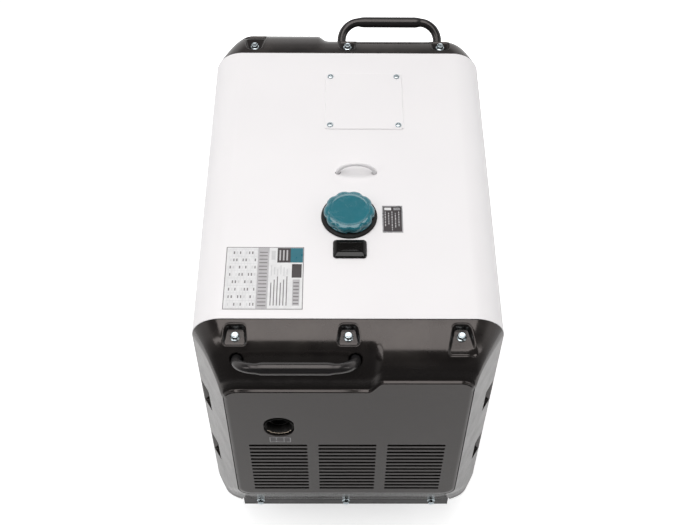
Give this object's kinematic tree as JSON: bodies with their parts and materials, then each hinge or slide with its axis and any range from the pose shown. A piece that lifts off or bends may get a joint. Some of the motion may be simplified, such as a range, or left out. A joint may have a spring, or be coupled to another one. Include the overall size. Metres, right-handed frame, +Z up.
{
  "type": "portable generator",
  "caption": "Enclosed portable diesel generator: white sheet-metal canopy between moulded end covers, pull handles, fuel cap, service door, control panel and casters.",
  "frame": {"origin": "on the ground under the middle of the machine", "axes": "+Z up, -Y towards the exhaust end, +Y towards the control end, +X towards the service door"},
  "size_m": [0.5497, 0.8715, 0.813],
  "materials": {
    "canopy_white": "satin powder coat",
    "cover_grey": "satin moulded plastic",
    "frame_black": "satin powder coat",
    "zinc_steel": "bright zinc plate",
    "rubber_black": "matte",
    "cap_teal": "glossy",
    "black_plastic": "glossy",
    "needle_orange": "glossy",
    "label_film": "satin film",
    "cast_alloy": "cast",
    "cast_iron": "machined and cast",
    "hot_steel": "heat stained",
    "tank_black": "semi-gloss",
    "panel_grey": "fine texture",
    "socket_blue": "satin",
    "stop_red": "glossy"
  },
  "bodies": {
    "chassis": {"canopy_shell": "canopy_white", "access_plate": "canopy_white", "lifting_eye": "canopy_white", "front_cover": "cover_grey", "rear_cover": "cover_grey", "front_bulkhead": "frame_black", "rear_bulkhead": "frame_black", "base_frame": "frame_black", "floor_pan": "frame_black", "lifting_arch": "frame_black", "front_handle": "frame_black", "rear_handle": "frame_black", "flange_bolts": "zinc_steel", "access_plate_screws": "zinc_steel", "fixed_caster_brackets": "zinc_steel", "front_axles": "zinc_steel", "swivel_caster_plates": "zinc_steel", "hinge_fixed_leaves": "zinc_steel", "hinge_pins": "zinc_steel", "engine_mounts": "rubber_black", "filler_grommet": "rubber_black", "fuel_gauge_window": "black_plastic", "fuel_gauge_housing": "black_plastic", "circuit_breaker": "black_plastic", "panel_meter": "black_plastic", "air_filter": "black_plastic", "battery": "black_plastic", "fan_shroud": "black_plastic", "data_plate": "label_film", "caution_plate": "label_film", "crankcase": "cast_alloy", "cylinder_block": "cast_alloy", "rocker_cover": "cast_alloy", "alternator_stator": "cast_alloy", "starter_motor": "cast_iron", "muffler": "hot_steel", "exhaust_tailpipe": "hot_steel", "fuel_tank": "tank_black", "control_panel": "panel_grey", "ac_sockets": "socket_blue"},
    "door": {"service_door": "canopy_white", "hinge_door_leaves": "zinc_steel"},
    "latch_upper": {"door_latch_upper": "black_plastic"},
    "latch_lower": {"door_latch_lower": "black_plastic"},
    "filler_cap": {"fuel_cap": "cap_teal"},
    "gauge_needle": {"fuel_gauge_needle": "needle_orange"},
    "swivel_left": {"caster_fork_left": "zinc_steel", "rear_axle_left": "zinc_steel"},
    "swivel_right": {"caster_fork_right": "zinc_steel", "rear_axle_right": "zinc_steel"},
    "wheel_rear_left": {"rear_wheel_left": "rubber_black"},
    "wheel_rear_right": {"rear_wheel_right": "rubber_black"},
    "wheel_front_left": {"front_wheel_left": "rubber_black"},
    "wheel_front_right": {"front_wheel_right": "rubber_black"},
    "crank_train": {"crankshaft": "cast_iron", "flywheel": "cast_iron", "alternator_rotor": "cast_iron"},
    "key": {"start_key": "black_plastic"},
    "stop": {"stop_button": "stop_red"},
    "breaker": {"breaker_lever": "black_plastic"}
  },
  "joints": [
    {"name": "door_swing", "type": "hinge", "parent": "chassis", "child": "door", "pos_m": [0.275, 0.211, 0.44], "axis": [0, 0, 1], "range_deg": [0, 110]},
    {"name": "latch_upper_turn", "type": "hinge", "parent": "door", "child": "latch_upper", "pos_m": [0.27, -0.184, 0.58], "axis": [1, 0, 0], "range_deg": [-90, 0]},
    {"name": "latch_lower_turn", "type": "hinge", "parent": "door", "child": "latch_lower", "pos_m": [0.27, -0.184, 0.3], "axis": [1, 0, 0], "range_deg": [-90, 0]},
    {"name": "cap_turn", "type": "hinge", "parent": "chassis", "child": "filler_cap", "pos_m": [0.002, -0.103, 0.8], "axis": [0, 0, 1], "range_deg": [0, 90]},
    {"name": "needle_turn", "type": "hinge", "parent": "chassis", "child": "gauge_needle", "pos_m": [0.003, -0.1776, 0.779], "axis": [0, 0, 1], "range_deg": [-60, 60]},
    {"name": "swivel_left_turn", "type": "hinge", "parent": "chassis", "child": "swivel_left", "pos_m": [-0.185, 0.245, 0.09], "axis": [0, 0, 1], "continuous": true},
    {"name": "swivel_right_turn", "type": "hinge", "parent": "chassis", "child": "swivel_right", "pos_m": [0.185, 0.245, 0.09], "axis": [0, 0, 1], "continuous": true},
    {"name": "wheel_rear_left_spin", "type": "hinge", "parent": "swivel_left", "child": "wheel_rear_left", "pos_m": [-0.185, 0.269, 0.0375], "axis": [1, 0, 0], "continuous": true},
    {"name": "wheel_rear_right_spin", "type": "hinge", "parent": "swivel_right", "child": "wheel_rear_right", "pos_m": [0.185, 0.269, 0.0375], "axis": [1, 0, 0], "continuous": true},
    {"name": "wheel_front_left_spin", "type": "hinge", "parent": "chassis", "child": "wheel_front_left", "pos_m": [-0.185, -0.245, 0.0375], "axis": [1, 0, 0], "continuous": true},
    {"name": "wheel_front_right_spin", "type": "hinge", "parent": "chassis", "child": "wheel_front_right", "pos_m": [0.185, -0.245, 0.0375], "axis": [1, 0, 0], "continuous": true},
    {"name": "crank_spin", "type": "hinge", "parent": "chassis", "child": "crank_train", "pos_m": [0, -0.12, 0.3], "axis": [0, 1, 0], "continuous": true},
    {"name": "key_turn", "type": "hinge", "parent": "chassis", "child": "key", "pos_m": [-0.11, 0.42, 0.57], "axis": [0, 1, 0], "range_deg": [0, 90]},
    {"name": "stop_press", "type": "slide", "parent": "chassis", "child": "stop", "axis": [0, -1, 0], "range_m": [0, 0.005], "stiffness_N_per_m": 400},
    {"name": "breaker_throw", "type": "hinge", "parent": "chassis", "child": "breaker", "pos_m": [0.11, 0.4085, 0.575], "axis": [1, 0, 0], "range_deg": [-50, 0]}
  ]
}
